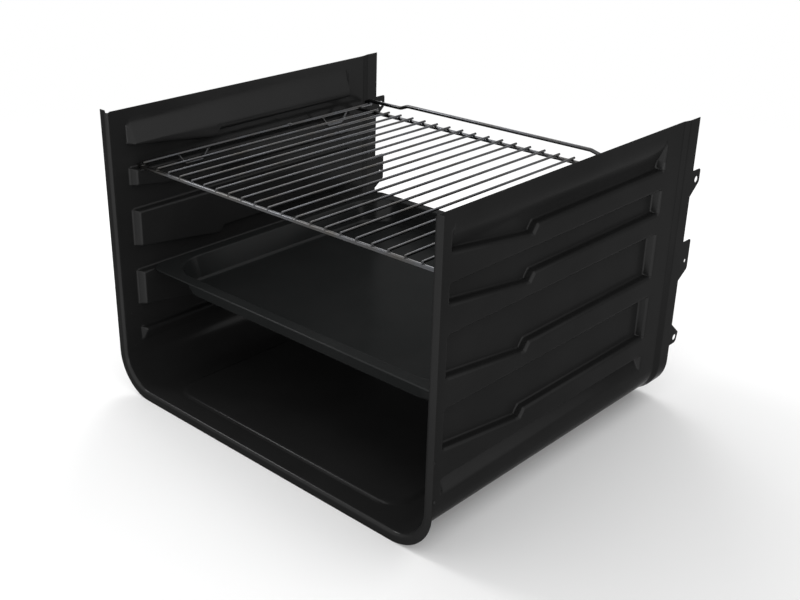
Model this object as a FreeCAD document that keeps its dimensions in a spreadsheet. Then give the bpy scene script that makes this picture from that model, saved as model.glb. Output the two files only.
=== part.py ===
import FreeCAD, Part

# Oven cavity of a gas cooker: one pressed steel liner that is open in front, at the back and
# on top, a wire shelf on its upper pair of ledges and a baking tray on its third pair.
# Millimetres. While drawn, X runs to the right seen from the mouth, Y from the mouth to the
# back and Z up from the underside of the cavity floor. Every piece is then moved so that
# the whole stands on Z = 0, centred left to right and front to back.

import os
import re

import Sketcher

SIZES = {
    # Liner sheet
    "cavity_width": 460,
    "cavity_depth": 431.5,
    "wall_top": 327.7,
    "floor_corner": 39.5,
    "sheet": 0.9,
    "flange_width": 10,
    "flange_bend": 3,
    "flange_top_step": 2,
    "flange_notch": 4.6,
    "collar_joggle": 2.5,
    "collar_ramp": 5,
    "collar_length": 21,
    # Pressed side panels, the ledges on top of them and the grooves above the ledges
    "panel_depth": 9.5,
    "panel_front": 24.3,
    "panel_back_margin": 58.5,
    "front_flank": 4.2,
    "back_flank": 3,
    "press_draft": 0.6,
    "ledge_first": 260,
    "ledge_second": 211,
    "ledge_third": 137.3,
    "ledge_fourth": 65,
    "groove_first": 21.1,
    "groove_second": 22.1,
    "groove_third": 23.8,
    "groove_fourth": 23.1,
    "mouth_rise": 7.5,
    "tooth_drop": 7.5,
    "tooth_front": 139,
    "tooth_low": 144,
    "tooth_back": 150,
    "wedge_top_margin": 17.7,
    "wedge_foot_margin": 7.5,
    "wedge_crest": 1.2,
    "wedge_web": 1.9,
    # Raised field of the floor
    "field_rise": 2,
    "field_slope": 3,
    "field_front": 25,
    "field_back_margin": 31.5,
    "field_side_margin": 55,
    "field_corner": 28,
    # Fixing lugs behind the collar
    "lug_length": 16.5,
    "lug_root": 1.5,
    "lug_round": 5,
    "lug_tip_round": 2.5,
    "lug_hole_back": 9.5,
    "lug_spacing": 95.5,
    "lug_middle": 161.5,
    "lug_hole": 7.2,
    "middle_hole": 4.4,
    # Wire shelf
    "rest_gap": 0.1,
    "weld_sink": 0.2,
    "rail_wire": 4.6,
    "rail_side_gap": 5.6,
    "rail_front": 34.5,
    "rail_setback": 19.5,
    "shelf_back_margin": 26.5,
    "side_wire": 4,
    "side_gap": 1.1,
    "rod_wire": 2.9,
    "rod_count": 20,
    "rod_margin": 26.5,
    "rod_overrun": 4,
    "stop_wire": 4.6,
    "stop_side_gap": 5.1,
    "stop_rise": 4.2,
    "stop_left_margin": 65.5,
    "stop_left_run": 11,
    "stop_right_margin": 94.5,
    "stop_right_run": 16,
    "stop_end_drop": 3,
    "stop_end_run": 7,
    "stop_bend": 13,
    "hoop_wire": 3,
    "hoop_top": 42,
    "hoop_bottom": 26,
    "hoop_drop": 10.5,
    "hoop_bend": 4,
    "hoop_from_front": 71.5,
    "hoop_from_back": 49.5,
    # Baking tray
    "tray_side_gap": 4.1,
    "tray_front": 39,
    "tray_back_margin": 6.5,
    "tray_sheet": 0.8,
    "tray_corner": 18,
    "tray_bead": 2.6,
    "tray_rim": 14.5,
    "tray_depth": 29.5,
    "tray_run": 8,
    "well_corner": 45,
    "tray_bend": 5,
    "tray_shoulder": 1.5,
    "tray_lap": 2.5,
}

# Places that several pieces share, worked out from the sizes
INSIDE = "(cavity_width / 2 - sheet)"
PANEL_FACE = f"({INSIDE} - panel_depth)"
PANEL_BACK = "(cavity_depth - panel_back_margin)"
LEDGES = ["ledge_first", "ledge_second", "ledge_third", "ledge_fourth"]
ROOFS = [f"({ledge} + {ledge.replace('ledge', 'groove')})" for ledge in LEDGES]

doc = FreeCAD.newDocument("OvenCavity")
sizes = doc.addObject("Spreadsheet::Sheet", "Sizes")
for row, (name, value) in enumerate(SIZES.items(), start=1):
    sizes.set(f"A{row}", name.replace("_", " "))
    sizes.set(f"B{row}", str(value))
    sizes.setAlias(f"B{row}", name)
doc.recompute()


def formula(text):
    """The text as an expression, each named size written as a cell of the sheet."""
    return re.sub(r"[a-z][a-z_]*", lambda word: "Sizes." + word.group()
                  if word.group() in SIZES else word.group(), str(text))


def bind(thing, prop, text):
    thing.setExpression(prop, formula(text))


def number(text):
    value = sizes.evalExpression(formula(text))
    return float(getattr(value, "Value", value))


# Where the drawn cavity stands in the frame of the whole object
OBJECT_BACK = "-(cavity_depth + lug_length) / 2"
OBJECT_LIFT = "flange_width"


def place(piece, along_x="0", along_y="0", along_z="0"):
    """Put a piece that was drawn at the origin at a place in the cavity."""
    bind(piece, "Placement.Base.x", along_x)
    bind(piece, "Placement.Base.y", f"({along_y}) + ({OBJECT_BACK})")
    bind(piece, "Placement.Base.z", f"({along_z}) + ({OBJECT_LIFT})")


def new_body(label):
    body = doc.addObject("PartDesign::Body", label)
    body.Label = label
    place(body)
    return body


def origin_plane(body, role):
    return next(item for item in body.Origin.OriginFeatures if item.Role == role)


def new_sketch(body, name, role, height="0"):
    """A sketch parallel to one of the body's own planes, at a height above it."""
    sketch = body.newObject("Sketcher::SketchObject", name)
    sketch.AttachmentSupport = (origin_plane(body, role), [""])
    sketch.MapMode = "FlatFace"
    bind(sketch, "AttachmentOffset.Base.z", height)
    return sketch


def hold(sketch, kind, text, *what):
    """A dimension of a sketch that follows a formula."""
    index = sketch.addConstraint(Sketcher.Constraint(kind, *what, number(text)))
    sketch.renameConstraint(index, f"size{index}")
    bind(sketch, f"Constraints.size{index}", text)


def hold_point(sketch, line, end, corner):
    """Hold a point of a sketch at a corner given by two formulas."""
    hold(sketch, "DistanceX", corner[0], -1, 1, line, end)
    hold(sketch, "DistanceY", corner[1], -1, 1, line, end)


def draw(sketch, corners, rounds=None, closed=True):
    """Straight lines through the corners, and an arc at each corner that rounds names."""
    points = [FreeCAD.Vector(number(x), number(y), 0) for x, y in corners]
    count = len(points) if closed else len(points) - 1
    first = sketch.GeometryCount
    for start in range(count):
        end = (start + 1) % len(points)
        sketch.addGeometry(Part.LineSegment(points[start], points[end]), False)
    for line in range(0 if closed else 1, count):
        before = first + (line - 1) % count
        sketch.addConstraint(
            Sketcher.Constraint("Coincident", before, 2, first + line, 1))
    for line in range(count):
        hold_point(sketch, first + line, 1, corners[line])
    if not closed:
        hold_point(sketch, first + count - 1, 2, corners[count])
    for corner, radius in (rounds or {}).items():
        sketch.fillet(first + corner, 1, number(radius), True, True)
        arc = max(index for index, shape in enumerate(sketch.Geometry)
                  if isinstance(shape, Part.ArcOfCircle))
        hold(sketch, "Radius", radius, arc)
    return sketch


def draw_circle(sketch, centre, width):
    middle = FreeCAD.Vector(number(centre[0]), number(centre[1]), 0)
    circle = sketch.addGeometry(
        Part.Circle(middle, FreeCAD.Vector(0, 0, 1), number(width) / 2), False)
    hold_point(sketch, circle, 3, centre)
    hold(sketch, "Diameter", width, circle)
    return sketch


def rectangle(left, right, low, high):
    return [(left, low), (right, low), (right, high), (left, high)]


def sweep(body, name, profile, path):
    pipe = body.newObject("PartDesign::AdditivePipe", name)
    pipe.Profile = profile
    pipe.Spine = (path, [])
    pipe.Refine = False
    return pipe


def loft(body, kind, name, first, last):
    shape = body.newObject(f"PartDesign::{kind}Loft", name)
    shape.Profile = first
    shape.Sections = [last]
    shape.Ruled = True
    shape.Refine = False
    return shape


# Oven liner: one enamelled steel sheet bent to a U, flanged round its mouth, joggled
# outwards into a collar at the back, with five panels pressed inwards on each side

def liner_sheet(body):
    """The flange, its bend, the wall and the collar, swept down, across and up again."""
    half = "cavity_width / 2"
    path = new_sketch(body, "liner_path", "XZ_Plane")
    top = "wall_top + flange_top_step"
    draw(path, [(f"-{half}", top), (f"-{half}", "0"), (half, "0"), (half, top)],
         {1: "floor_corner", 2: "floor_corner"}, closed=False)
    crease = "sheet * tan(atan(collar_joggle / collar_ramp) / 2)"
    ramp = "cavity_depth - collar_length - collar_ramp"
    collar = "cavity_depth - collar_length"
    outer, inner = f"-{half}", f"-{half} + sheet"
    edge = f"-{half} - flange_width"
    profile = new_sketch(body, "liner_profile", "XY_Plane", top)
    draw(profile, [
        (edge, "0"),
        (inner, "0"),
        (inner, f"{ramp} + {crease}"),
        (f"{inner} - collar_joggle", f"{collar} + {crease}"),
        (f"{inner} - collar_joggle", "cavity_depth"),
        (f"{outer} - collar_joggle", "cavity_depth"),
        (f"{outer} - collar_joggle", collar),
        (outer, ramp),
        (outer, "sheet"),
        (edge, "sheet"),
    ], {1: "flange_bend + sheet", 8: "flange_bend"})
    return sweep(body, "liner_sheet", profile, path)


def inset(run, height):
    """How far a panel's flank lies from its foot, at a height above the wall's inside.

    The hollow behind the panel follows it one sheet deeper, from below the wall's inside."""
    if height in ("0", "panel_depth"):
        return f"({run} * {height} / panel_depth)"
    return f"({run} * ({height}) / panel_depth + sheet * sqrt(1 + ({run} / panel_depth)^2))"


def panel_outline(ledge, roof, runs, height):
    """Panel below a ledge, down to the roof of the next pair of grooves.

    The roof slopes down from the mouth to a tooth that a shelf catches behind."""
    ledge_in, roof_in, front_in, back_in = (inset(run, height) for run in runs)
    slope = "(mouth_rise + tooth_drop) / (tooth_front - panel_front)"
    high = f"{ledge} - {ledge_in}"
    low = f"{roof} + {roof_in}"
    front = f"panel_front + {front_in}"
    back = f"{PANEL_BACK} - {back_in}"
    return [
        (front, high),
        ("tooth_front", high),
        ("tooth_low", high),
        ("tooth_back", high),
        (back, high),
        (back, low),
        ("tooth_back", low),
        ("tooth_low", f"{low} - tooth_drop"),
        ("tooth_front", f"{low} - tooth_drop"),
        (front, f"{low} + mouth_rise - {front_in} * {slope}"),
    ]


def foot_outline(ledge, foot, runs, height):
    """Lowest panel: full depth at its ledge, nothing at its foot."""
    ledge_in, foot_in, front_in, back_in = (inset(run, height) for run in runs)
    return rectangle(f"panel_front + {front_in}", f"{PANEL_BACK} - {back_in}",
                     f"{foot} + {foot_in}", f"{ledge} - {ledge_in}")


def press_panel(body, name, outline, upper, lower, runs, hollow):
    """Panel that stands inwards from the wall, with a hollow of a given height behind."""
    places = [
        ("foot", "0"),
        ("face", "panel_depth"),
        ("hollow_foot", "-sheet"),
        ("hollow_face", hollow),
    ]
    sketches = []
    for level, height in places:
        sketch = new_sketch(body, f"{name}_{level}", "YZ_Plane", f"{INSIDE} - ({height})")
        draw(sketch, outline(upper, lower, runs, height))
        sketches.append(sketch)
    return [loft(body, "Additive", f"{name}_front", sketches[0], sketches[1]),
            loft(body, "Subtractive", f"{name}_hollow", sketches[2], sketches[3])]


def side_panels(body):
    """Five panels on the right wall. The top and the lowest one fade into the wall."""
    wedge_top = "(wall_top - wedge_top_margin)"
    wedge_foot = "(floor_corner + wedge_foot_margin)"
    top_run = f"({wedge_top} - {ROOFS[0]} - mouth_rise - press_draft - wedge_crest)"
    foot_run = f"({LEDGES[3]} - {wedge_foot} - press_draft - wedge_crest)"
    ends = ("front_flank", "back_flank")
    hollow = "panel_depth - sheet"
    wedge_hollow = "panel_depth - sheet - wedge_web"
    pressed = press_panel(body, "top_panel", panel_outline, wedge_top, ROOFS[0],
                          (top_run, "press_draft", *ends), wedge_hollow)
    for order, name in enumerate(["upper_panel", "middle_panel", "lower_panel"]):
        pressed += press_panel(body, name, panel_outline, LEDGES[order], ROOFS[order + 1],
                               ("press_draft", "press_draft", *ends), hollow)
    return pressed + press_panel(body, "foot_panel", foot_outline, LEDGES[3], wedge_foot,
                                 ("press_draft", foot_run, *ends), wedge_hollow)


def floor_outline(sketch, margin):
    """Rounded outline of the floor's raised field, a margin inside its foot."""
    side = f"(cavity_width / 2 - field_side_margin - {margin})"
    corners = rectangle(f"-{side}", side, f"field_front + {margin}",
                        f"cavity_depth - field_back_margin - {margin}")
    radius = f"field_corner - {margin}"
    return draw(sketch, corners, {0: radius, 1: radius, 2: radius, 3: radius})


def floor_field(body):
    """Field of the floor that is pressed up, hollow below."""
    crease = "sheet * tan(atan(field_rise / field_slope) / 2)"
    outlines = [
        ("field_foot", "sheet", "0"),
        ("field_face", "sheet + field_rise", "field_slope"),
        ("field_under_foot", "0", crease),
        ("field_under_face", "field_rise", f"(field_slope + {crease})"),
    ]
    sketches = [floor_outline(new_sketch(body, name, "XY_Plane", height), margin)
                for name, height, margin in outlines]
    loft(body, "Additive", "field_top", sketches[0], sketches[1])
    loft(body, "Subtractive", "field_under", sketches[2], sketches[3])


def trim_wall_top(body):
    """The wall ends a little below the flange, with a notch beside the flange's bend."""
    sketch = new_sketch(body, "wall_trim_outline", "YZ_Plane")
    draw(sketch, rectangle("flange_notch", "cavity_depth + flange_width",
                           "wall_top", "wall_top + 2 * flange_top_step"))
    trim = body.newObject("PartDesign::Pocket", "wall_trim")
    trim.Profile = sketch
    trim.Midplane = True
    bind(trim, "Length", "cavity_width + 4 * flange_width")
    trim.Refine = False
    return trim


def lug(body, name, corners, rounds, hole_height, hole):
    """Flat lug in the collar's own sheet, with one round hole."""
    sketch = new_sketch(body, f"{name}_outline", "YZ_Plane",
                        "cavity_width / 2 + collar_joggle - sheet")
    draw(sketch, corners, rounds)
    draw_circle(sketch, ("cavity_depth + lug_hole_back", hole_height), hole)
    pad = body.newObject("PartDesign::Pad", name)
    pad.Profile = sketch
    bind(pad, "Length", "sheet")
    pad.Refine = False
    return pad


def lugs(body):
    """Three fixing lugs on the right, one above the other."""
    root = "cavity_depth - lug_root"
    tip = "cavity_depth + lug_length"
    upper = "(lug_middle + lug_spacing)"
    lower = "(lug_middle - lug_spacing)"
    return [
        lug(body, "upper_lug",
            [(root, f"{upper} - 18"), ("cavity_depth", f"{upper} - 18"), (tip, f"{upper} - 4"),
             (tip, f"{upper} + 11"), (root, f"{upper} + 11")],
            {2: "lug_round", 3: "lug_tip_round"}, upper, "lug_hole"),
        lug(body, "middle_lug",
            [(root, "lug_middle - 21.5"), ("cavity_depth", "lug_middle - 21.5"),
             (tip, "lug_middle - 11"), (tip, "lug_middle + 24.5"), (root, "lug_middle + 24.5")],
            {2: "lug_round", 3: "lug_tip_round"}, "lug_middle", "middle_hole"),
        lug(body, "lower_lug",
            [(root, f"{lower} - 7.5"), (f"{tip} - 3", f"{lower} - 7.5"), (tip, f"{lower} + 5"),
             ("cavity_depth", f"{lower} + 19"), (root, f"{lower} + 19")],
            {1: "lug_round", 2: "lug_tip_round"}, lower, "lug_hole"),
    ]


def oven_liner():
    body = new_body("oven_liner")
    liner_sheet(body)
    trim_wall_top(body)
    floor_field(body)
    right_side = side_panels(body) + lugs(body)
    left_side = body.newObject("PartDesign::Mirrored", "left_side")
    left_side.Originals = right_side
    left_side.MirrorPlane = (origin_plane(body, "YZ_Plane"), [""])
    left_side.Refine = False
    body.Tip = left_side


# Wire shelf: two cross rails that rest on the first ledges, with every other wire welded
# to them. The same few wire sizes and heights place all of its pieces.

RAIL_END = f"({INSIDE} - rail_side_gap)"
RAIL_BACK = "(cavity_depth - shelf_back_margin - rail_setback)"
SIDE_ROD = f"({PANEL_FACE} - side_gap - side_wire / 2)"
SHELF_BACK = "(cavity_depth - shelf_back_margin)"
RAIL_MIDDLE = "(ledge_first + rest_gap + rail_wire / 2)"
RAIL_TOP = "(ledge_first + rest_gap + rail_wire - weld_sink)"
SIDE_MIDDLE = f"({RAIL_TOP} + side_wire / 2)"
STOP_MIDDLE = f"({RAIL_TOP} + side_wire - weld_sink + stop_wire / 2)"


def straight_wire(label, wire, length, along, start):
    """Round wire from a start point, along X or along Y."""
    rod = doc.addObject("Part::Cylinder", label)
    rod.Label = label
    bind(rod, "Radius", f"{wire} / 2")
    bind(rod, "Height", length)
    axis, angle = {"X": ((0, 1, 0), 90), "Y": ((1, 0, 0), -90)}[along]
    rod.Placement.Rotation = FreeCAD.Rotation(FreeCAD.Vector(*axis), angle)
    place(rod, *start)


def bent_wire(label, wire, role, height, corners, rounds, along_x="0"):
    """Round wire along a path of straight runs and bends."""
    body = new_body(label)
    place(body, along_x)
    path = new_sketch(body, f"{label}_path", role, height)
    draw(path, corners, rounds, closed=False)
    section = body.newObject("Sketcher::SketchObject", f"{label}_section")
    section.AttachmentSupport = (path, ["Edge1", "Vertex1"])
    section.MapMode = "NormalToEdge"
    draw_circle(section, ("0", "0"), wire)
    sweep(body, f"{label}_wire", section, path)


def shelf_rails():
    for label, back in (("shelf_front_rail", "rail_front"), ("shelf_rear_rail", RAIL_BACK)):
        straight_wire(label, "rail_wire", f"2 * {RAIL_END}", "X",
                      (f"-{RAIL_END}", back, RAIL_MIDDLE))


def shelf_side_rods():
    for label, sign in (("shelf_side_rod_left", "-1"), ("shelf_side_rod_right", "1")):
        straight_wire(label, "side_wire", f"{SHELF_BACK} - rail_front", "Y",
                      (f"{sign} * {SIDE_ROD}", "rail_front", SIDE_MIDDLE))


def shelf_rods():
    """The shelf's surface: equal rods on both rails, evenly spaced about the middle."""
    first = f"({SIDE_ROD} - rod_margin)"
    for order in range(int(number("rod_count"))):
        straight_wire(f"shelf_rod_{order + 1:02d}", "rod_wire",
                      f"{RAIL_BACK} + rod_overrun - rail_front", "Y",
                      (f"{first} * (2 * {order} / (rod_count - 1) - 1)", "rail_front",
                       f"{RAIL_TOP} + rod_wire / 2"))


def shelf_stop_wire():
    """Back wire on the side rods, raised in its middle, its ends bent down."""
    low = STOP_MIDDLE
    high = f"{STOP_MIDDLE} + stop_rise"
    end = f"({INSIDE} - stop_side_gap)"
    left = f"stop_left_margin - {SIDE_ROD}"
    right = f"{SIDE_ROD} - stop_right_margin"
    bent_wire("shelf_stop_wire", "stop_wire", "XZ_Plane", f"-{SHELF_BACK} + stop_wire / 2", [
        (f"-{end}", f"{low} - stop_end_drop"),
        (f"-{end} + stop_end_run", low),
        (f"{left} - stop_left_run", low),
        (left, high),
        (right, high),
        (f"{right} + stop_right_run", low),
        (f"{end} - stop_end_run", low),
        (end, f"{low} - stop_end_drop"),
    ], {corner: "stop_bend" for corner in range(1, 7)})


def shelf_hoops():
    """Four U-shaped wires that hang from the side rods and guide the shelf sideways."""
    lean = "atan((hoop_top - hoop_bottom) / 2 / hoop_drop)"
    top = f"{SIDE_MIDDLE} - side_wire / 2 + weld_sink - hoop_wire / 2 * sin({lean})"
    bottom = f"{top} - hoop_drop"
    for end, middle in (("front", "rail_front + hoop_from_front"),
                        ("rear", f"{RAIL_BACK} - hoop_from_back")):
        for side, sign in (("left", "-1"), ("right", "1")):
            bent_wire(f"shelf_hoop_{end}_{side}", "hoop_wire", "YZ_Plane", "0", [
                (f"{middle} - hoop_top / 2", top),
                (f"{middle} - hoop_bottom / 2", bottom),
                (f"{middle} + hoop_bottom / 2", bottom),
                (f"{middle} + hoop_top / 2", top),
            ], {1: "hoop_bend", 2: "hoop_bend"}, f"{sign} * {SIDE_ROD}")


# Baking tray: one pressed sheet with a wide flat rim, its edge rolled to a bead that
# rests on the third ledges

TRAY_TOP = "(ledge_third + rest_gap + tray_bead)"
TRAY_SIDE = f"({INSIDE} - tray_side_gap - tray_bead / 2)"
WELL = "(tray_rim - tray_bead / 2)"


def tray_outline(sketch, margin, radius):
    """Rounded outline of the tray, a margin inside the bead's middle line."""
    side = f"({TRAY_SIDE} - {margin})"
    front = f"tray_front + tray_bead / 2 + {margin}"
    back = f"cavity_depth - tray_back_margin - tray_bead / 2 - {margin}"
    return draw(sketch, rectangle(f"-{side}", side, front, back),
                {0: radius, 1: radius, 2: radius, 3: radius})


def tray_rim(body):
    """Flat rim round the well."""
    sketch = new_sketch(body, "rim_outline", "XY_Plane", TRAY_TOP)
    tray_outline(sketch, "0", "tray_corner")
    tray_outline(sketch, f"({WELL} - tray_lap)", "(well_corner + tray_lap)")
    rim = body.newObject("PartDesign::Pad", "tray_rim")
    rim.Profile = sketch
    rim.Reversed = True
    bind(rim, "Length", "tray_sheet")
    rim.Refine = False


def tray_bead(body):
    """The rim's edge rolled down to a bead."""
    path = new_sketch(body, "bead_path", "XY_Plane", f"{TRAY_TOP} - tray_bead / 2")
    tray_outline(path, "0", "tray_corner")
    section = new_sketch(body, "bead_section", "YZ_Plane", f"tray_corner - {TRAY_SIDE}")
    draw_circle(section, ("tray_front + tray_bead / 2", f"{TRAY_TOP} - tray_bead / 2"),
                "tray_bead")
    sweep(body, "tray_bead", section, path)


def tray_wall(body):
    """The well's wall, leaning inwards, with a bend at the rim and one at the bottom."""
    path = new_sketch(body, "wall_path", "XY_Plane", TRAY_TOP)
    tray_outline(path, WELL, "well_corner")
    section = new_sketch(body, "wall_section", "YZ_Plane",
                         f"well_corner - ({TRAY_SIDE} - {WELL})")
    bend = "tray_sheet * tan(atan((tray_depth - tray_sheet) / tray_run) / 2)"
    edge = f"(tray_front + tray_bead / 2 + {WELL})"
    foot = f"({edge} + tray_run)"
    flat = f"{foot} + tray_bend + tray_lap"
    low = f"{TRAY_TOP} - tray_depth"
    draw(section, [
        (f"{edge} - 2 * tray_lap", TRAY_TOP),
        (edge, TRAY_TOP),
        (foot, f"{low} + tray_sheet"),
        (flat, f"{low} + tray_sheet"),
        (flat, low),
        (f"{foot} - {bend}", low),
        (f"{edge} - {bend}", f"{TRAY_TOP} - tray_sheet"),
        (f"{edge} - 2 * tray_lap", f"{TRAY_TOP} - tray_sheet"),
    ], {1: "tray_shoulder + tray_sheet", 2: "tray_bend", 5: "tray_bend + tray_sheet",
        6: "tray_shoulder"})
    sweep(body, "tray_wall", section, path)


def tray_bottom(body):
    sketch = new_sketch(body, "bottom_outline", "XY_Plane", f"{TRAY_TOP} - tray_depth")
    tray_outline(sketch, f"({WELL} + tray_run + tray_bend)",
                 "(well_corner - tray_run - tray_bend)")
    bottom = body.newObject("PartDesign::Pad", "tray_bottom")
    bottom.Profile = sketch
    bind(bottom, "Length", "tray_sheet")
    bottom.Refine = False


def baking_tray():
    body = new_body("baking_tray")
    tray_rim(body)
    tray_wall(body)
    tray_bottom(body)
    tray_bead(body)


oven_liner()
baking_tray()
shelf_rails()
shelf_side_rods()
shelf_rods()
shelf_stop_wire()
shelf_hoops()
doc.recompute()

failed = [item.Name for item in doc.Objects
          if "Invalid" in item.State or "Error" in item.State]
if failed:
    raise RuntimeError(f"Not rebuilt: {failed}")
pieces = [item for item in doc.Objects
          if item.TypeId == "PartDesign::Body" or item.TypeId == "Part::Cylinder"]
for piece in pieces:
    if piece.Shape.isNull() or not piece.Shape.isValid() or len(piece.Shape.Solids) != 1:
        raise RuntimeError(f"Bad shape: {piece.Label}")

os.makedirs("parts", exist_ok=True)
for piece in pieces:
    piece.Shape.exportStep(f"parts/{piece.Label}.step")
    print(piece.Label, round(piece.Shape.Volume), "mm3")
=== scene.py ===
import sys

import math
from collections import namedtuple

import bmesh
import bpy
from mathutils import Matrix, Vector


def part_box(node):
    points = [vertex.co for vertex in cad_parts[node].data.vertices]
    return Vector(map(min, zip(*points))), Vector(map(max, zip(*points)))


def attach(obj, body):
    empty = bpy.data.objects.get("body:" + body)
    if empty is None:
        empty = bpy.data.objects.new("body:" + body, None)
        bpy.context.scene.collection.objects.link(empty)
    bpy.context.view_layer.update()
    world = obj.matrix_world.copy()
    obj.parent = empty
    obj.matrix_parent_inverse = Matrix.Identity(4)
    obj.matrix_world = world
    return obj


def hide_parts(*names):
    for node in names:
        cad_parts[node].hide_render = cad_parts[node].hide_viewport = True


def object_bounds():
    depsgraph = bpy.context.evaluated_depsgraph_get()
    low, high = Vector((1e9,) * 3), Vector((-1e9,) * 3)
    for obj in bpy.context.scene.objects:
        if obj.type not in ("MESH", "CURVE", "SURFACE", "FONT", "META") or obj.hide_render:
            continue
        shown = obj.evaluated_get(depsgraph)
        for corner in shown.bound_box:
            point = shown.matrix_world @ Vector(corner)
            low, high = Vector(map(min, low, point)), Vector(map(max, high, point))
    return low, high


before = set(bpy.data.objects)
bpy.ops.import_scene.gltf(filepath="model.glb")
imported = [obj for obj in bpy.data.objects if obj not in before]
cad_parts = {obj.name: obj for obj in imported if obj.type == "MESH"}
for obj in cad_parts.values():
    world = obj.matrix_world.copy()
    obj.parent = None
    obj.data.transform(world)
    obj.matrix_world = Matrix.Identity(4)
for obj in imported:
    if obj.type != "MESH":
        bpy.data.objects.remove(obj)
cad_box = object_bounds()

# Camera: a long lens from the front right, looking down on the open top. The picture is cropped
# from a wider one, so the lens is shifted sideways.

MM = 0.001
FLANGE = 10.0
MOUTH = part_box("oven_liner")[0][1]
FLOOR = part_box("oven_liner")[0][2] + FLANGE * MM

PICTURE = (800, 600)
FOCAL_PIXELS = 1116.8
LENS_AXIS = (328.4, 298.7)
SENSOR_WIDTH = 36
FARTHEST = 50000.0
CAMERA_PLACE = (769.8, -661.1, 636.9)
CAMERA_DEGREES = (65.774, 0.079, 44.979)


def place_at(x, y, z):
    """A place in the frame, given in millimetres from the middle of the cavity's mouth.

    X runs to the right, Y to the back and Z up from the underside of the cavity's floor.
    """
    return Vector((x * MM, MOUTH + y * MM, FLOOR + z * MM))


lens = bpy.data.cameras.new("studio_camera")
lens.sensor_width = SENSOR_WIDTH
lens.lens = FOCAL_PIXELS * SENSOR_WIDTH / PICTURE[0]
lens.shift_x = (PICTURE[0] / 2 - LENS_AXIS[0]) / PICTURE[0]
lens.shift_y = (LENS_AXIS[1] - PICTURE[1] / 2) / PICTURE[0]
lens.clip_end = FARTHEST * MM
camera = bpy.data.objects.new("studio_camera", lens)
camera.location = place_at(*CAMERA_PLACE)
camera.rotation_euler = [math.radians(angle) for angle in CAMERA_DEGREES]
bpy.context.collection.objects.link(camera)
bpy.context.scene.camera = camera

# Studio: a white room. The camera, gloss and glass see its plain white, and the light that
# falls on the object is a touch softer. Two lamps stand high at the back left and on the left,
# and three weak ones lower down in front, at the right side and at the back.


def linear(code):
    """An sRGB hex colour as the linear colour that a shader takes, by the sRGB curve."""
    parts = [int(code[start:start + 2], 16) / 255 for start in (1, 3, 5)]
    return [p / 12.92 if p <= 0.04045 else ((p + 0.055) / 1.055) ** 2.4 for p in parts] + [1]


def add(tree, kind, settings=None, links=None):
    """A node with its settings, and its inputs given as values, sockets or other nodes."""
    node = tree.nodes.new(kind)
    for name, value in (settings or {}).items():
        setattr(node, name, value)
    for name, value in (links or {}).items():
        socket = node.inputs[name] if isinstance(name, int) else \
            next(s for s in node.inputs if s.enabled and s.name == name)
        if isinstance(value, bpy.types.Node):
            value = next(s for s in value.outputs if s.enabled)
        if isinstance(value, bpy.types.NodeSocket):
            tree.links.new(value, socket)
        else:
            socket.default_value = value
    return node


def softbox(name, place, aim, size, watts):
    """A square lamp at a place, turned to an aim, all in millimetres, of a power in watts."""
    lamp = bpy.data.lights.new(name, "AREA")
    lamp.size = size * MM
    lamp.energy = watts
    holder = bpy.data.objects.new(name, lamp)
    holder.location = place_at(*place)
    ray = place_at(*aim) - place_at(*place)
    holder.rotation_euler = ray.to_track_quat("-Z", "Y").to_euler()
    bpy.context.collection.objects.link(holder)


bpy.context.scene.view_settings.view_transform = "Standard"

room = bpy.data.worlds.new("white_room")
room.use_nodes = True
tree = room.node_tree
tree.nodes.clear()
rays = add(tree, "ShaderNodeLightPath")
direct = add(tree, "ShaderNodeMath", {"operation": "MAXIMUM"},
             {0: rays.outputs["Is Camera Ray"], 1: rays.outputs["Is Glossy Ray"]})
direct = add(tree, "ShaderNodeMath", {"operation": "MAXIMUM"},
             {0: direct, 1: rays.outputs["Is Transmission Ray"]})
soft_light = add(tree, "ShaderNodeBackground", None,
                 {"Color": linear("#fafafa"), "Strength": 1.0})
backdrop = add(tree, "ShaderNodeBackground", None,
               {"Color": linear("#ffffff"), "Strength": 1.0})
mixed = add(tree, "ShaderNodeMixShader", None, {0: direct, 1: soft_light, 2: backdrop})
add(tree, "ShaderNodeOutputWorld", None, {"Surface": mixed})
bpy.context.scene.world = room

softbox("overhead_softbox", (-900, 1200, 1450), (0, 200, 200), size=700, watts=6)
softbox("left_softbox", (-1100, -250, 1150), (0, 150, 200), size=420, watts=6)
softbox("front_softbox", (1100, -1000, 120), (-50, 120, 100), size=420, watts=1.5)
softbox("side_softbox", (1450, -150, 60), (230, 50, 200), size=420, watts=1)
softbox("back_softbox", (150, 1900, 650), (0, 200, 20), size=420, watts=2)

# Paper sweep: a round sheet of white paper just under the object. Paper is matt and takes a
# soft shadow, a faint glow keeps it white, and it fades into the room before its edge.

SWEEP_RADIUS = 1600.0
SWEEP_SIDES = 96
SWEEP_GAP = 0.2
SWEEP_FADE = (450.0, 1500.0)
SWEEP_GLOW = 0.06

bpy.ops.mesh.primitive_circle_add(vertices=SWEEP_SIDES, radius=SWEEP_RADIUS * MM,
                                  fill_type="NGON",
                                  location=(0, 0, cad_box[0][2] - SWEEP_GAP * MM))
sweep = bpy.context.object
sweep.name = "paper_sweep"
paper = bpy.data.materials.new("white_sweep_paper")
paper.use_nodes = True
tree = paper.node_tree
tree.nodes.clear()
place = add(tree, "ShaderNodeTexCoord")
reach = add(tree, "ShaderNodeVectorMath", {"operation": "LENGTH"},
            {0: place.outputs["Object"]})
fade = add(tree, "ShaderNodeMapRange", {"interpolation_type": "SMOOTHSTEP"},
           {"Value": reach, "From Min": SWEEP_FADE[0] * MM, "From Max": SWEEP_FADE[1] * MM,
            "To Min": 1, "To Max": 0})
matt = add(tree, "ShaderNodeBsdfDiffuse", None, {"Color": linear("#f2f2f2")})
rays = add(tree, "ShaderNodeLightPath")
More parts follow.
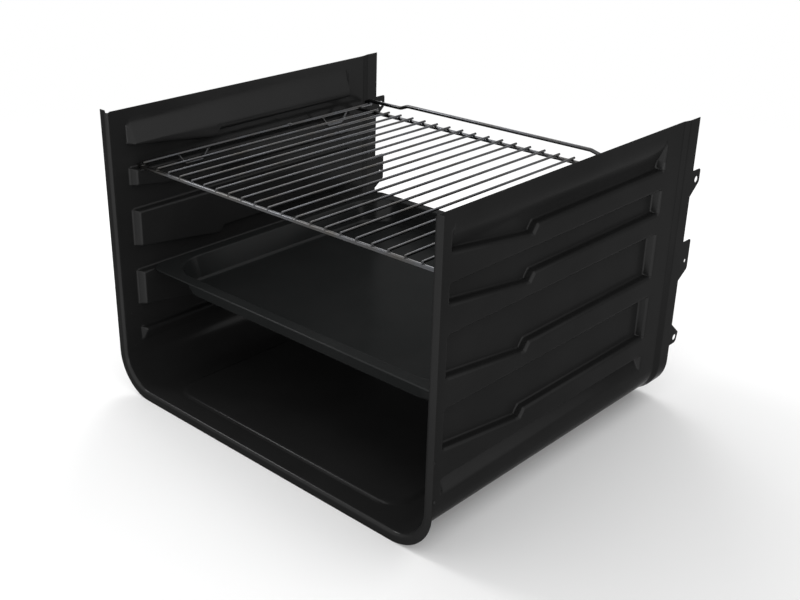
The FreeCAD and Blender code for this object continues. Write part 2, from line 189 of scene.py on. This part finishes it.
glow = add(tree, "ShaderNodeMath", {"operation": "MAXIMUM"},
           {0: rays.outputs["Is Camera Ray"], 1: rays.outputs["Is Glossy Ray"]})
glow = add(tree, "ShaderNodeMath", {"operation": "MULTIPLY"}, {0: glow, 1: SWEEP_GLOW})
white = add(tree, "ShaderNodeEmission", None, {"Color": linear("#ffffff"), "Strength": glow})
lit = add(tree, "ShaderNodeAddShader", None, {0: matt, 1: white})
clear = add(tree, "ShaderNodeBsdfTransparent")
faded = add(tree, "ShaderNodeMixShader", None, {0: fade, 1: clear, 2: lit})
add(tree, "ShaderNodeOutputMaterial", None, {"Surface": faded})
sweep.data.materials.append(paper)

# Oven liner: one steel sheet, 0.9 mm thick, pressed and bent to a U and enamelled black. Its
# mouth is flanged outwards, the back is joggled out to a collar with fixing lugs, and five
# panels are pressed inwards on each side, so that their top edges make four pairs of ledges.

SHEET = 0.9
HALF_WIDTH = 230.0
WALL_TOP = 327.7
CORNER = 39.5
DEPTH = 431.5

# The flange stands proud of the wall's top edge, with a notch between them
FLANGE_TOP = 329.7
FLANGE_BEND = 3.9
FLANGE_TOP_END = 0.4
NOTCH_END = FLANGE_BEND + 0.5
NOTCH_DEPTH = 0.9

JOGGLE = (403.5, 413.0)
JOGGLE_OUT = 2.5
JOGGLE_ROUND = 12.0

# Panels: each slopes in over a short stretch at its front and at its back. Between two panels
# lie a ledge and, over it, the roof of its groove. From the mouth a roof slopes down to a tooth,
# and behind that it runs level: the tooth's corners are distances from the mouth and shifts of
# the roof. The uppermost panel's top and the lowest one's foot are wedges.
PANEL_DEPTH = 9.5
PANEL_FRONT = (24.3, 28.5)
PANEL_BACK = (370.0, 373.0)
LEDGES = (260.0, 211.0, 137.3, 65.0)
ROOFS = (281.1, 233.1, 161.1, 88.1)
DRAFT = 0.6
TOOTH = ((PANEL_FRONT[0], 7.5), (139.0, -7.5), (144.5, -7.5), (150.5, 0.0))
TOOTH_ROUND = 3.0
PRESS_ROUND = 3.2
WEDGE_TOP = 310.0
WEDGE_FULL = 289.5
WEDGE_FOOT = 47.0
WEDGE_ROUND = 40.0

# The floor's raised field
FIELD_SIDE = 175.0
FIELD_ENDS = (25.0, 400.0)
FIELD_CORNER = 28.0
FIELD_RISE = 2.0
FIELD_SLOPE = 5.0

# Lugs: the heights of the root's two ends, the two corners of the tip, the rounds between
# them, and the hole
LUG_TIP = DEPTH + 16.5
LUG_HOLE_BACK = DEPTH + 9.5
LUG_ROUNDS = (2.5, 5.0)
Lug = namedtuple("Lug", "upper lower tip hole_height hole_radius")
LUGS = (Lug(268.0, 239.0, ((LUG_TIP, 268.0), (LUG_TIP, 253.0)), 257.0, 3.6),
        Lug(186.0, 140.0, ((LUG_TIP, 186.0), (LUG_TIP, 150.5)), 161.5, 2.2),
        Lug(85.0, 58.5, ((LUG_TIP, 71.0), (LUG_TIP - 3.0, 58.5)), 66.0, 3.6))

# How fine the mesh is. Rows run across the liner at a distance from the mouth, and columns
# run along its floor at a distance from the middle: close over the field's slope, few between.
# The bend's step is in degrees, and points nearer than the last value are made one.
FEW_POINTS = 5
ARC_POINTS = 6
BEND_STEP = 15
CORNER_STEPS = 14
HOLE_SIDES = 24
FLANGE_ROW = FLANGE - 3.0
FIRST_ROW = FLANGE_BEND + 0.4
LAST_ROW = DEPTH - 1.0
LEAST_ROW = 0.3
PLAIN_ROWS = (5.0, 90.0, 200.0, 250.0, 300.0, 340.0)
FIELD_ROW = 2.5
FIELD_ROWS = 13
FLOOR_COLUMNS = (HALF_WIDTH - CORNER, 183.0)
FIELD_COLUMN = FIELD_SIDE + 2.0
PLAIN_COLUMNS = (120.0, 80.0, 40.0)
SAME_PLACE = 0.02

# Vitreous enamel: glass powder fired on the pressed steel. It gives the eye a jet black, smooth
# coat with a faint orange peel, the pressing's long waves and a few paler specks fired into it.

SPECK_SPACING = 5.0
SPECK_RADIUS = (0.2, 0.4)
CLOUD_WIDTH = 70.0
PEEL_WIDTH = 2.2
PEEL_HEIGHT = 0.05
WAVE_WIDTH = 45.0
WAVE_HEIGHT = 0.5
SLANT_GLOSS = 0.02


def enamel(name, ground, speck, roughness, gloss):
    """Enamel in a ground colour with paler specks, of a roughness and a gloss seen face on."""
    material = bpy.data.materials.new(name)
    material.use_nodes = True
    tree = material.node_tree
    tree.nodes.clear()
    place = add(tree, "ShaderNodeTexCoord").outputs["Object"]
    # Specks about 0.5 mm wide, one every few millimetres, thicker in some places
    specks = add(tree, "ShaderNodeTexVoronoi", {"feature": "F1"},
                 {"Vector": place, "Scale": 1 / (SPECK_SPACING * MM)})
    dots = add(tree, "ShaderNodeMapRange", None,
               {"Value": specks, "From Min": SPECK_RADIUS[0] / SPECK_SPACING,
                "From Max": SPECK_RADIUS[1] / SPECK_SPACING, "To Min": 1, "To Max": 0})
    cloud = add(tree, "ShaderNodeTexNoise", None,
                {"Vector": place, "Scale": 1 / (CLOUD_WIDTH * MM), "Detail": 3.0})
    share = add(tree, "ShaderNodeMath", {"operation": "MULTIPLY"}, {0: dots, 1: cloud})
    specked = add(tree, "ShaderNodeMix", {"data_type": "RGBA"},
                  {"Factor": share, "A": linear(ground), "B": linear(speck)})
    # The coat is a touch paler where it ran thin over a hand's width
    thin = add(tree, "ShaderNodeMapRange", None,
               {"Value": cloud, "From Min": 0.35, "From Max": 0.7, "To Min": 0, "To Max": 0.12})
    colour = add(tree, "ShaderNodeMix", {"data_type": "RGBA"},
                 {"Factor": thin, "A": specked, "B": linear(speck)})
    wiped = add(tree, "ShaderNodeMapRange", None,
                {"Value": cloud, "From Min": 0.3, "From Max": 0.7,
                 "To Min": roughness * 0.85, "To Max": roughness * 1.2})
    peel = add(tree, "ShaderNodeTexNoise", None,
               {"Vector": place, "Scale": 1 / (PEEL_WIDTH * MM), "Detail": 1.0})
    wave = add(tree, "ShaderNodeTexNoise", None,
               {"Vector": place, "Scale": 1 / (WAVE_WIDTH * MM), "Detail": 0.0})
    rippled = add(tree, "ShaderNodeBump", None,
                  {"Height": peel, "Strength": 0.15, "Distance": PEEL_HEIGHT * MM})
    bent = add(tree, "ShaderNodeBump", None,
               {"Height": wave, "Strength": 0.4, "Distance": WAVE_HEIGHT * MM,
                "Normal": rippled})
    # The gloss fades at a slant, where the white room would turn the black walls grey
    slant = add(tree, "ShaderNodeLayerWeight", None, {"Blend": 0.5, "Normal": bent})
    sheen = add(tree, "ShaderNodeMapRange", None,
                {"Value": slant.outputs["Facing"], "From Min": 0.1, "From Max": 0.4,
                 "To Min": gloss, "To Max": gloss * SLANT_GLOSS})
    glass = add(tree, "ShaderNodeBsdfPrincipled", None,
                {"Base Color": colour, "Roughness": wiped, "IOR": 1.5,
                 "Specular IOR Level": sheen, "Normal": bent})
    add(tree, "ShaderNodeOutputMaterial", None, {"Surface": glass})
    return material


LEAST_TURN = 0.001
ARC_SHARE = 0.48


def rounded(corners, radius, points_each=FEW_POINTS):
    """A bent line, with an arc of a set number of points at each corner between its ends.

    The radius is one for all corners, or a tuple with one for each. An arc takes up less than
    half of the straight on either side of it.
    """
    line = [Vector(corners[0])]
    for number, (before, corner, after) in enumerate(zip(corners, corners[1:], corners[2:])):
        corner = Vector(corner)
        into = corner - Vector(before)
        out = Vector(after) - corner
        turn = into.angle(out, 0)
        if turn < LEAST_TURN:
            line += [corner.copy() for point in range(points_each)]
            continue
        size = radius[number] if isinstance(radius, tuple) else radius
        reach = min(size * math.tan(turn / 2), into.length * ARC_SHARE, out.length * ARC_SHARE)
        into.normalize()
        start = corner - into * reach
        aside = (out.normalized() - into * math.cos(turn)) / math.sin(turn)
        bend = reach / math.tan(turn / 2)
        for point in range(points_each):
            angle = turn * point / (points_each - 1)
            line.append(start + bend * (into * math.sin(angle) + aside * (1 - math.cos(angle))))
    return line + [Vector(corners[-1])]


def height_on(line, at):
    """The second coordinate of a bent line where its first one is at."""
    for a, b in zip(line, line[1:]):
        if at <= b.x:
            return a.y + (b.y - a.y) * max(at - a.x, 0) / max(b.x - a.x, sys.float_info.epsilon)
    return line[-1].y


def section_corners(press, roof_shift):
    """Corners down one wall as height and inward depth, its panels in by a share press."""
    deep = PANEL_DEPTH * press
    draft = DRAFT * press
    corners = [(WALL_TOP, 0), (WEDGE_TOP, 0), (WEDGE_FULL, deep)]
    for ledge, roof in zip(LEDGES, ROOFS):
        corners += [(roof + roof_shift + draft, deep), (roof + roof_shift, 0),
                    (ledge, 0), (ledge - draft, deep)]
    return corners + [(WEDGE_FOOT, 0), (CORNER, 0)]


# Where each end of a lug's root lies: on which straight of the wall, and how far down it
heights = [height for height, depth in section_corners(0, 0)]
roots = {}
for lug in LUGS:
    for root in (lug.upper, lug.lower):
        straight = max(i for i, height in enumerate(heights) if height > root)
        roots[straight] = ((heights[straight] - root)
                           / (heights[straight] - heights[straight + 1]))


def wall_section(press, roof_shift):
    """Points down one wall, with one more for each end of a lug's root."""
    corners = section_corners(press, roof_shift)
    creases = [PRESS_ROUND] * (4 * len(LEDGES))
    line = rounded(corners, (WEDGE_ROUND, WEDGE_ROUND, *creases, WEDGE_ROUND), ARC_POINTS)
    points = []
    for number, point in enumerate(line):
        points.append(point)
        straight, rest = divmod(number, ARC_POINTS)
        if rest == 0 and straight in roots:
            points.append(point.lerp(line[number + 1], roots[straight]))
    return points


def field_height(x, y):
    """Rise of the floor's field, pressed up inside a rounded outline with a soft slope."""
    middle = (FIELD_ENDS[0] + FIELD_ENDS[1]) / 2
    half = (FIELD_ENDS[1] - FIELD_ENDS[0]) / 2
    dx = abs(x) - (FIELD_SIDE - FIELD_CORNER)
    dy = abs(y - middle) - (half - FIELD_CORNER)
    outside = math.hypot(max(dx, 0), max(dy, 0)) + min(max(dx, dy), 0) - FIELD_CORNER
    share = min(max(-outside / FIELD_SLOPE, 0), 1)
    return FIELD_RISE * share * share * (3 - 2 * share)


# Three lines from the mouth to the back: how far the panels are pressed in, as a share, how
# far their grooves' roofs are shifted up, and how far the wall stands out
press_line = [Vector((y, depth / PANEL_DEPTH)) for y, depth in
              rounded([(0, 0), (PANEL_FRONT[0], 0), (PANEL_FRONT[1], PANEL_DEPTH),
                       (PANEL_BACK[0], PANEL_DEPTH), (PANEL_BACK[1], 0), (DEPTH, 0)],
                      PRESS_ROUND, ARC_POINTS)]
roof_line = rounded([(0, TOOTH[0][1]), *TOOTH, (PANEL_BACK[1], 0), (DEPTH, 0)], TOOTH_ROUND)
collar_line = rounded([(0, -SHEET), (JOGGLE[0], -SHEET), (JOGGLE[1], JOGGLE_OUT - SHEET),
                       (DEPTH, JOGGLE_OUT - SHEET)], JOGGLE_ROUND)

# Stations from the mouth to the back: how far out of the wall's plane, and how far back
stations = [(FLANGE, 0.0), (FLANGE_ROW, 0.0)]
stations += [(FLANGE_BEND - SHEET - FLANGE_BEND * math.sin(math.radians(angle)),
              FLANGE_BEND - FLANGE_BEND * math.cos(math.radians(angle)))
             for angle in range(0, 91, BEND_STEP)]
places = {point.x for line in (press_line, roof_line, collar_line) for point in line}
places |= {FIELD_ENDS[0] + FIELD_ROW * row for row in range(FIELD_ROWS)}
places |= {FIELD_ENDS[1] - FIELD_ROW * row for row in range(FIELD_ROWS)}
places |= set(PLAIN_ROWS)
last = FIRST_ROW
for y in sorted(places):
    if y - last > LEAST_ROW and y < LAST_ROW:
        stations.append((height_on(collar_line, y), y))
        last = y
stations.append((JOGGLE_OUT - SHEET, DEPTH))

# Columns across the floor, from its right side to its left
floor_xs = [*FLOOR_COLUMNS]
floor_xs += [FIELD_COLUMN - FIELD_ROW * column for column in range(FIELD_ROWS + 1)]
floor_xs += PLAIN_COLUMNS
floor_xs += [0.0] + [-x for x in reversed(floor_xs)]


def flange_top(y):
    """Height of the sheet's top edge at a distance from the mouth."""
    if y < FLANGE_TOP_END:
        return FLANGE_TOP
    return WALL_TOP - NOTCH_DEPTH if y < NOTCH_END else WALL_TOP


def wall_column(out, y, side):
    """Points from the top of one wall down to its bottom corner."""
    section = wall_section(height_on(press_line, y), height_on(roof_line, y))
    column = [(side * (HALF_WIDTH + out - deep), y, z) for z, deep in section]
    column[0] = (column[0][0], y, flange_top(y))
    return column


def corner_column(out, y, side):
    """Points round one bottom corner."""
    centre = HALF_WIDTH - CORNER
    reach = CORNER + out
    angles = [math.pi / 2 * step / CORNER_STEPS for step in range(1, CORNER_STEPS)]
    return [(side * (centre + reach * math.cos(angle)), y, CORNER - reach * math.sin(angle))
            for angle in angles]


def floor_column(out, y):
    """Points across the floor from right to left."""
    return [(x, y, -out + field_height(x, y)) for x in floor_xs]


shell = bmesh.new()
grid = []
for out, y in stations:
    right = wall_column(out, y, 1) + corner_column(out, y, 1)
    left = wall_column(out, y, -1) + corner_column(out, y, -1)
    column = right + floor_column(out, y) + left[::-1]
    grid.append([shell.verts.new(place_at(*point)) for point in column])
for front, back in zip(grid, grid[1:]):
    for a, b, c, d in zip(front, back, back[1:], front[1:]):
        shell.faces.new((a, b, c, d))


def add_lug(edge, side, lug):
    """Flat lug on the collar's edge, made of one face above and one below its hole."""
    x = side * (HALF_WIDTH + JOGGLE_OUT - SHEET)
    least = place_at(0, 0, lug.lower - SAME_PLACE / 2).z
    most = place_at(0, 0, lug.upper + SAME_PLACE / 2).z
    root = [vert for vert in edge if least < vert.co.z < most]
    outline = rounded([(DEPTH, lug.upper), *lug.tip, (DEPTH, lug.lower)], LUG_ROUNDS, ARC_POINTS)
    rim = [shell.verts.new(place_at(x, y, z)) for y, z in outline[1:-1]]
    angles = [math.tau * step / HOLE_SIDES for step in range(HOLE_SIDES)]
    hole = [shell.verts.new(place_at(x, LUG_HOLE_BACK + lug.hole_radius * math.cos(angle),
                                     lug.hole_height + lug.hole_radius * math.sin(angle)))
            for angle in angles]
    height = place_at(0, 0, lug.hole_height).z
    middle = min(range(len(root)), key=lambda i: abs(root[i].co.z - height))
    tip = min(range(len(rim)), key=lambda i: (abs(rim[i].co.z - height), -rim[i].co.y))
    half = HOLE_SIDES // 2
    faces = (root[middle::-1] + rim[:tip + 1] + hole[:half + 1],
             hole[half:] + [hole[0]] + rim[tip:] + root[:middle - 1:-1])
    for face in faces:
        shell.faces.new(face if side > 0 else face[::-1])


edge = grid[-1]
for lug in LUGS:
    add_lug(edge[:len(edge) // 2], 1, lug)
    add_lug(edge[:len(edge) // 2:-1], -1, lug)
bmesh.ops.remove_doubles(shell, verts=shell.verts, dist=SAME_PLACE * MM)

# The rounding of a cut edge, and the least angle in degrees that counts as one
EDGE_ROUND = 0.22
SHARP_EDGE = 60


def sheet_metal(name, shell, thickness, material):
    """Makes a piece of an open shell: solid sheet behind it, with its cut edges rounded."""
    mesh = bpy.data.meshes.new(name)
    shell.to_mesh(mesh)
    shell.free()
    mesh.shade_smooth()
    mesh.materials.append(material)
    piece = bpy.data.objects.new(name, mesh)
    bpy.context.collection.objects.link(piece)
    wall = piece.modifiers.new("sheet", "SOLIDIFY")
    wall.thickness = thickness * MM
    wall.offset = -1
    wall.use_even_offset = True
    wall.use_quality_normals = True
    edge = piece.modifiers.new("edge", "BEVEL")
    edge.width = EDGE_ROUND * MM
    edge.segments = 2
    edge.limit_method = "ANGLE"
    edge.angle_limit = math.radians(SHARP_EDGE)
    flats = piece.modifiers.new("flats", "WEIGHTED_NORMAL")
    flats.mode = "FACE_AREA"
    return piece


liner_enamel = enamel("black_vitreous_enamel_liner", ground="#1f1f1f", speck="#313131",
                      roughness=0.2, gloss=0.24)
liner = sheet_metal("oven_liner_pressed", shell, SHEET, liner_enamel)
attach(liner, "cavity")
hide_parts("oven_liner")

# Locating pips: two small bumps beside the flange on each wall, punched outwards in the same
# sheet and enamelled with it, to set the cooker's front frame in its place.

PIPS = ((13.3, 86.3), (15.8, 43.2))
PIP_SIZE = (1.3, 2.3, 2.6)


def bumps(name, places, seed, variation, material):
    """Rounded bumps in one mesh, each at its place in its half sizes or a little smaller."""
    cloud = bpy.data.meshes.new(name + "_places")
    cloud.from_pydata([place_at(*place) for place, size in places], [], [])
    sizes = cloud.attributes.new("half_size", "FLOAT_VECTOR", "POINT")
    for entry, (place, size) in zip(sizes.data, places):
        entry.vector = [length * MM for length in size]
    holder = bpy.data.objects.new(name + "_places", cloud)
    bpy.context.collection.objects.link(holder)

    tree = bpy.data.node_groups.new(name + "_nodes", "GeometryNodeTree")
    face = tree.interface
    face.new_socket("Places", in_out="INPUT", socket_type="NodeSocketGeometry")
    seeded = face.new_socket("Seed", in_out="INPUT", socket_type="NodeSocketInt")
    varied = face.new_socket("Variation", in_out="INPUT", socket_type="NodeSocketFloat")
    face.new_socket("Bumps", in_out="OUTPUT", socket_type="NodeSocketGeometry")
    given = add(tree, "NodeGroupInput")
    size = add(tree, "GeometryNodeInputNamedAttribute", {"data_type": "FLOAT_VECTOR"},
               {"Name": "half_size"})
    least = add(tree, "ShaderNodeMath", {"operation": "SUBTRACT"},
                {0: 1.0, 1: given.outputs["Variation"]})
    chance = add(tree, "FunctionNodeRandomValue", {"data_type": "FLOAT"},
                 {"Min": least, "Max": 1.0, "Seed": given.outputs["Seed"]})
    scale = add(tree, "ShaderNodeVectorMath", {"operation": "SCALE"},
                {"Vector": size, "Scale": chance})
    ball = add(tree, "GeometryNodeMeshIcoSphere", None, {"Radius": 1.0, "Subdivisions": 4})
    copies = add(tree, "GeometryNodeInstanceOnPoints", None,
                 {"Points": given.outputs["Places"], "Instance": ball, "Scale": scale})
    whole = add(tree, "GeometryNodeRealizeInstances", None, {"Geometry": copies})
    smooth = add(tree, "GeometryNodeSetShadeSmooth", None, {"Geometry": whole})
    coat = add(tree, "GeometryNodeSetMaterial", None, {"Geometry": smooth, "Material": material})
    add(tree, "NodeGroupOutput", None, {"Bumps": coat})

    maker = holder.modifiers.new("bumps", "NODES")
    maker.node_group = tree
    maker[seeded.identifier] = seed
    maker[varied.identifier] = variation
    ready = holder.evaluated_get(bpy.context.evaluated_depsgraph_get())
    mesh = bpy.data.meshes.new_from_object(ready)
    mesh.name = name
    bpy.data.objects.remove(holder)
    piece = bpy.data.objects.new(name, mesh)
    bpy.context.collection.objects.link(piece)
    return piece


pip_places = [((side * HALF_WIDTH, y, z), PIP_SIZE) for side in (-1, 1) for y, z in PIPS]
pips = bumps("locating_pips", pip_places, seed=1, variation=0.1, material=liner_enamel)
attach(pips, "cavity")

# Baking tray: one deep-drawn sheet, 0.8 mm thick, enamelled black like the liner. Its rim is
# flat, rolled under to a bead at the edge, and the well's wall leans in and bends softly into
# the bottom.

TRAY_SHEET = 0.8
TRAY_SIDE = 225.0
TRAY_ENDS = (39.0, 425.0)
TRAY_TOP = 140.0
TRAY_CORNER = 18.0
BEAD = 1.3
BEAD_DEGREES = range(-150, 90, 20)
WELL_INSET = 14.5
WELL_CORNER = 45.0
WELL_RUN = 8.0
WELL_DEPTH = 28.7
WELL_FLAT = 14.0
WELL_ROUNDS = (2.3, 5.0)
WELL_POINTS = 8
RING_STEPS = 16


def tray_ring(inset, radius, z):
    """Points of a rounded rectangle, an inset inside the tray's outer edge."""
    ring = []
    for turn, (sx, sy) in enumerate(((1, 1), (-1, 1), (-1, -1), (1, -1))):
        centre_x = sx * (TRAY_SIDE - inset - radius)
        centre_y = TRAY_ENDS[1] - inset - radius if sy > 0 else TRAY_ENDS[0] + inset + radius
        for step in range(RING_STEPS + 1):
            angle = math.pi / 2 * (turn + step / RING_STEPS)
            ring.append((centre_x + radius * math.cos(angle),
                         centre_y + radius * math.sin(angle), z))
    return ring


def tray_corner(inset):
    """Corner radius of a ring: the rim's outer corner is tight, the well's is wide."""
    if inset < BEAD:
        return TRAY_CORNER + BEAD - inset
    if inset < WELL_INSET:
        share = (inset - BEAD) / (WELL_INSET - BEAD)
        return TRAY_CORNER + (WELL_CORNER - TRAY_CORNER) * share
    return WELL_CORNER + WELL_INSET - inset


tray_profile = [(BEAD - BEAD * math.cos(math.radians(angle)),
                 TRAY_TOP - BEAD + BEAD * math.sin(math.radians(angle)))
                for angle in BEAD_DEGREES]
tray_profile += [tuple(point) for point in
                 rounded([(BEAD, TRAY_TOP), (WELL_INSET, TRAY_TOP),
                          (WELL_INSET + WELL_RUN, TRAY_TOP - WELL_DEPTH),
                          (WELL_INSET + WELL_RUN + WELL_FLAT, TRAY_TOP - WELL_DEPTH)],
                         WELL_ROUNDS, WELL_POINTS)]

shell = bmesh.new()
rings = [[shell.verts.new(place_at(*point)) for point in tray_ring(inset, tray_corner(inset), z)]
         for inset, z in tray_profile]
for outer, inner in zip(rings, rings[1:]):
    for a, b, c, d in zip(outer, outer[1:] + outer[:1], inner[1:] + inner[:1], inner):
        shell.faces.new((a, b, c, d))
shell.faces.new(rings[-1])

tray_enamel = enamel("black_vitreous_enamel_tray", ground="#1f2020", speck="#313131",
                     roughness=0.2, gloss=0.22)
tray = sheet_metal("baking_tray_drawn", shell, TRAY_SHEET, tray_enamel)
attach(tray, "tray")
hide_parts("baking_tray")

# Shelf wires: drawn steel wire, plated, and a little dull from use. It gives the eye thin
# glints with fine draw marks along each wire, and patches that heat has stained brown. Wires
# across and wires from front to back have a material each, for the way their marks run.

MARK_WIDTH = 0.5
MARK_DEPTH = 0.02
MARK_STRETCH = 0.03
STAIN_WIDTH = 35.0


def plated_wire(name, stretch):
    """Plated wire whose draw marks are drawn out along the axis with the small stretch."""
    material = bpy.data.materials.new(name)
    material.use_nodes = True
    tree = material.node_tree
    tree.nodes.clear()
    place = add(tree, "ShaderNodeTexCoord").outputs["Object"]
    drawn = add(tree, "ShaderNodeVectorMath", {"operation": "MULTIPLY"},
                {0: place, 1: stretch})
    marks = add(tree, "ShaderNodeTexNoise", None,
                {"Vector": drawn, "Scale": 1 / (MARK_WIDTH * MM), "Detail": 2.0})
    stain = add(tree, "ShaderNodeTexNoise", None,
                {"Vector": place, "Scale": 1 / (STAIN_WIDTH * MM), "Detail": 4.0})
    tint = add(tree, "ShaderNodeMapRange", None,
               {"Value": stain, "From Min": 0.4, "From Max": 0.7, "To Min": 0, "To Max": 1})
    colour = add(tree, "ShaderNodeMix", {"data_type": "RGBA"},
                 {"Factor": tint, "A": linear("#525356"), "B": linear("#4a4845")})
    dulled = add(tree, "ShaderNodeMapRange", None,
                 {"Value": stain, "From Min": 0.3, "From Max": 0.7,
                  "To Min": 0.22, "To Max": 0.36})
    grooved = add(tree, "ShaderNodeBump", None,
                  {"Height": marks, "Strength": 0.3, "Distance": MARK_DEPTH * MM})
    metal = add(tree, "ShaderNodeBsdfPrincipled", None,
                {"Base Color": colour, "Metallic": 1.0, "Roughness": dulled,
                 "Normal": grooved})
    add(tree, "ShaderNodeOutputMaterial", None, {"Surface": metal})
    return material


wire_across = plated_wire("bright_plated_wire_across", (MARK_STRETCH, 1, 1))
wire_along = plated_wire("bright_plated_wire_along", (1, MARK_STRETCH, 1))
for name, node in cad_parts.items():
    if name.startswith("shelf_"):
        across = "rail" in name or "stop" in name
        node.material_slots[0].material = wire_across if across else wire_along

# Welds: where two wires cross, they are pressed together hot, and a little of their steel
# swells out between them. One larger lump on the left side rod is left from its making.

RAILS = (34.5, 385.5)
ROD_PITCH = 20.0
ROD_COUNT = 20
SIDE_ROD = 216.5
HOOPS = (106.0, 336.0)
HOOP_HALF = 21.0
UNDER_RODS = 264.6
UNDER_STOP = 268.4
STOP_WIRE = 402.7

# Half sizes of the metal that swells out, and the place and half size of the lump
ROD_WELD = (1.9, 2.2, 0.9)
SIDE_WELD = (2.4, 2.6, 1.0)
STOP_WELD = (2.4, 2.4, 1.0)
HOOP_WELD = (1.8, 2.4, 0.9)
LUMP = ((-SIDE_ROD, 257.0, 268.0), (2.2, 4.3, 1.9))

weld_places = []
for number in range(ROD_COUNT):
    x = (number - (ROD_COUNT - 1) / 2) * ROD_PITCH
    weld_places += [((x, rail, UNDER_RODS), ROD_WELD) for rail in RAILS]
for x in (-SIDE_ROD, SIDE_ROD):
    weld_places += [((x, rail, UNDER_RODS), SIDE_WELD) for rail in RAILS]
    weld_places.append(((x, STOP_WIRE, UNDER_STOP), STOP_WELD))
    weld_places += [((x, middle + side * HOOP_HALF, UNDER_RODS), HOOP_WELD)
                    for middle in HOOPS for side in (-1, 1)]
weld_places.append(LUMP)

welds = bumps("shelf_welds", weld_places, seed=7, variation=0.2, material=wire_along)
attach(welds, "shelf")
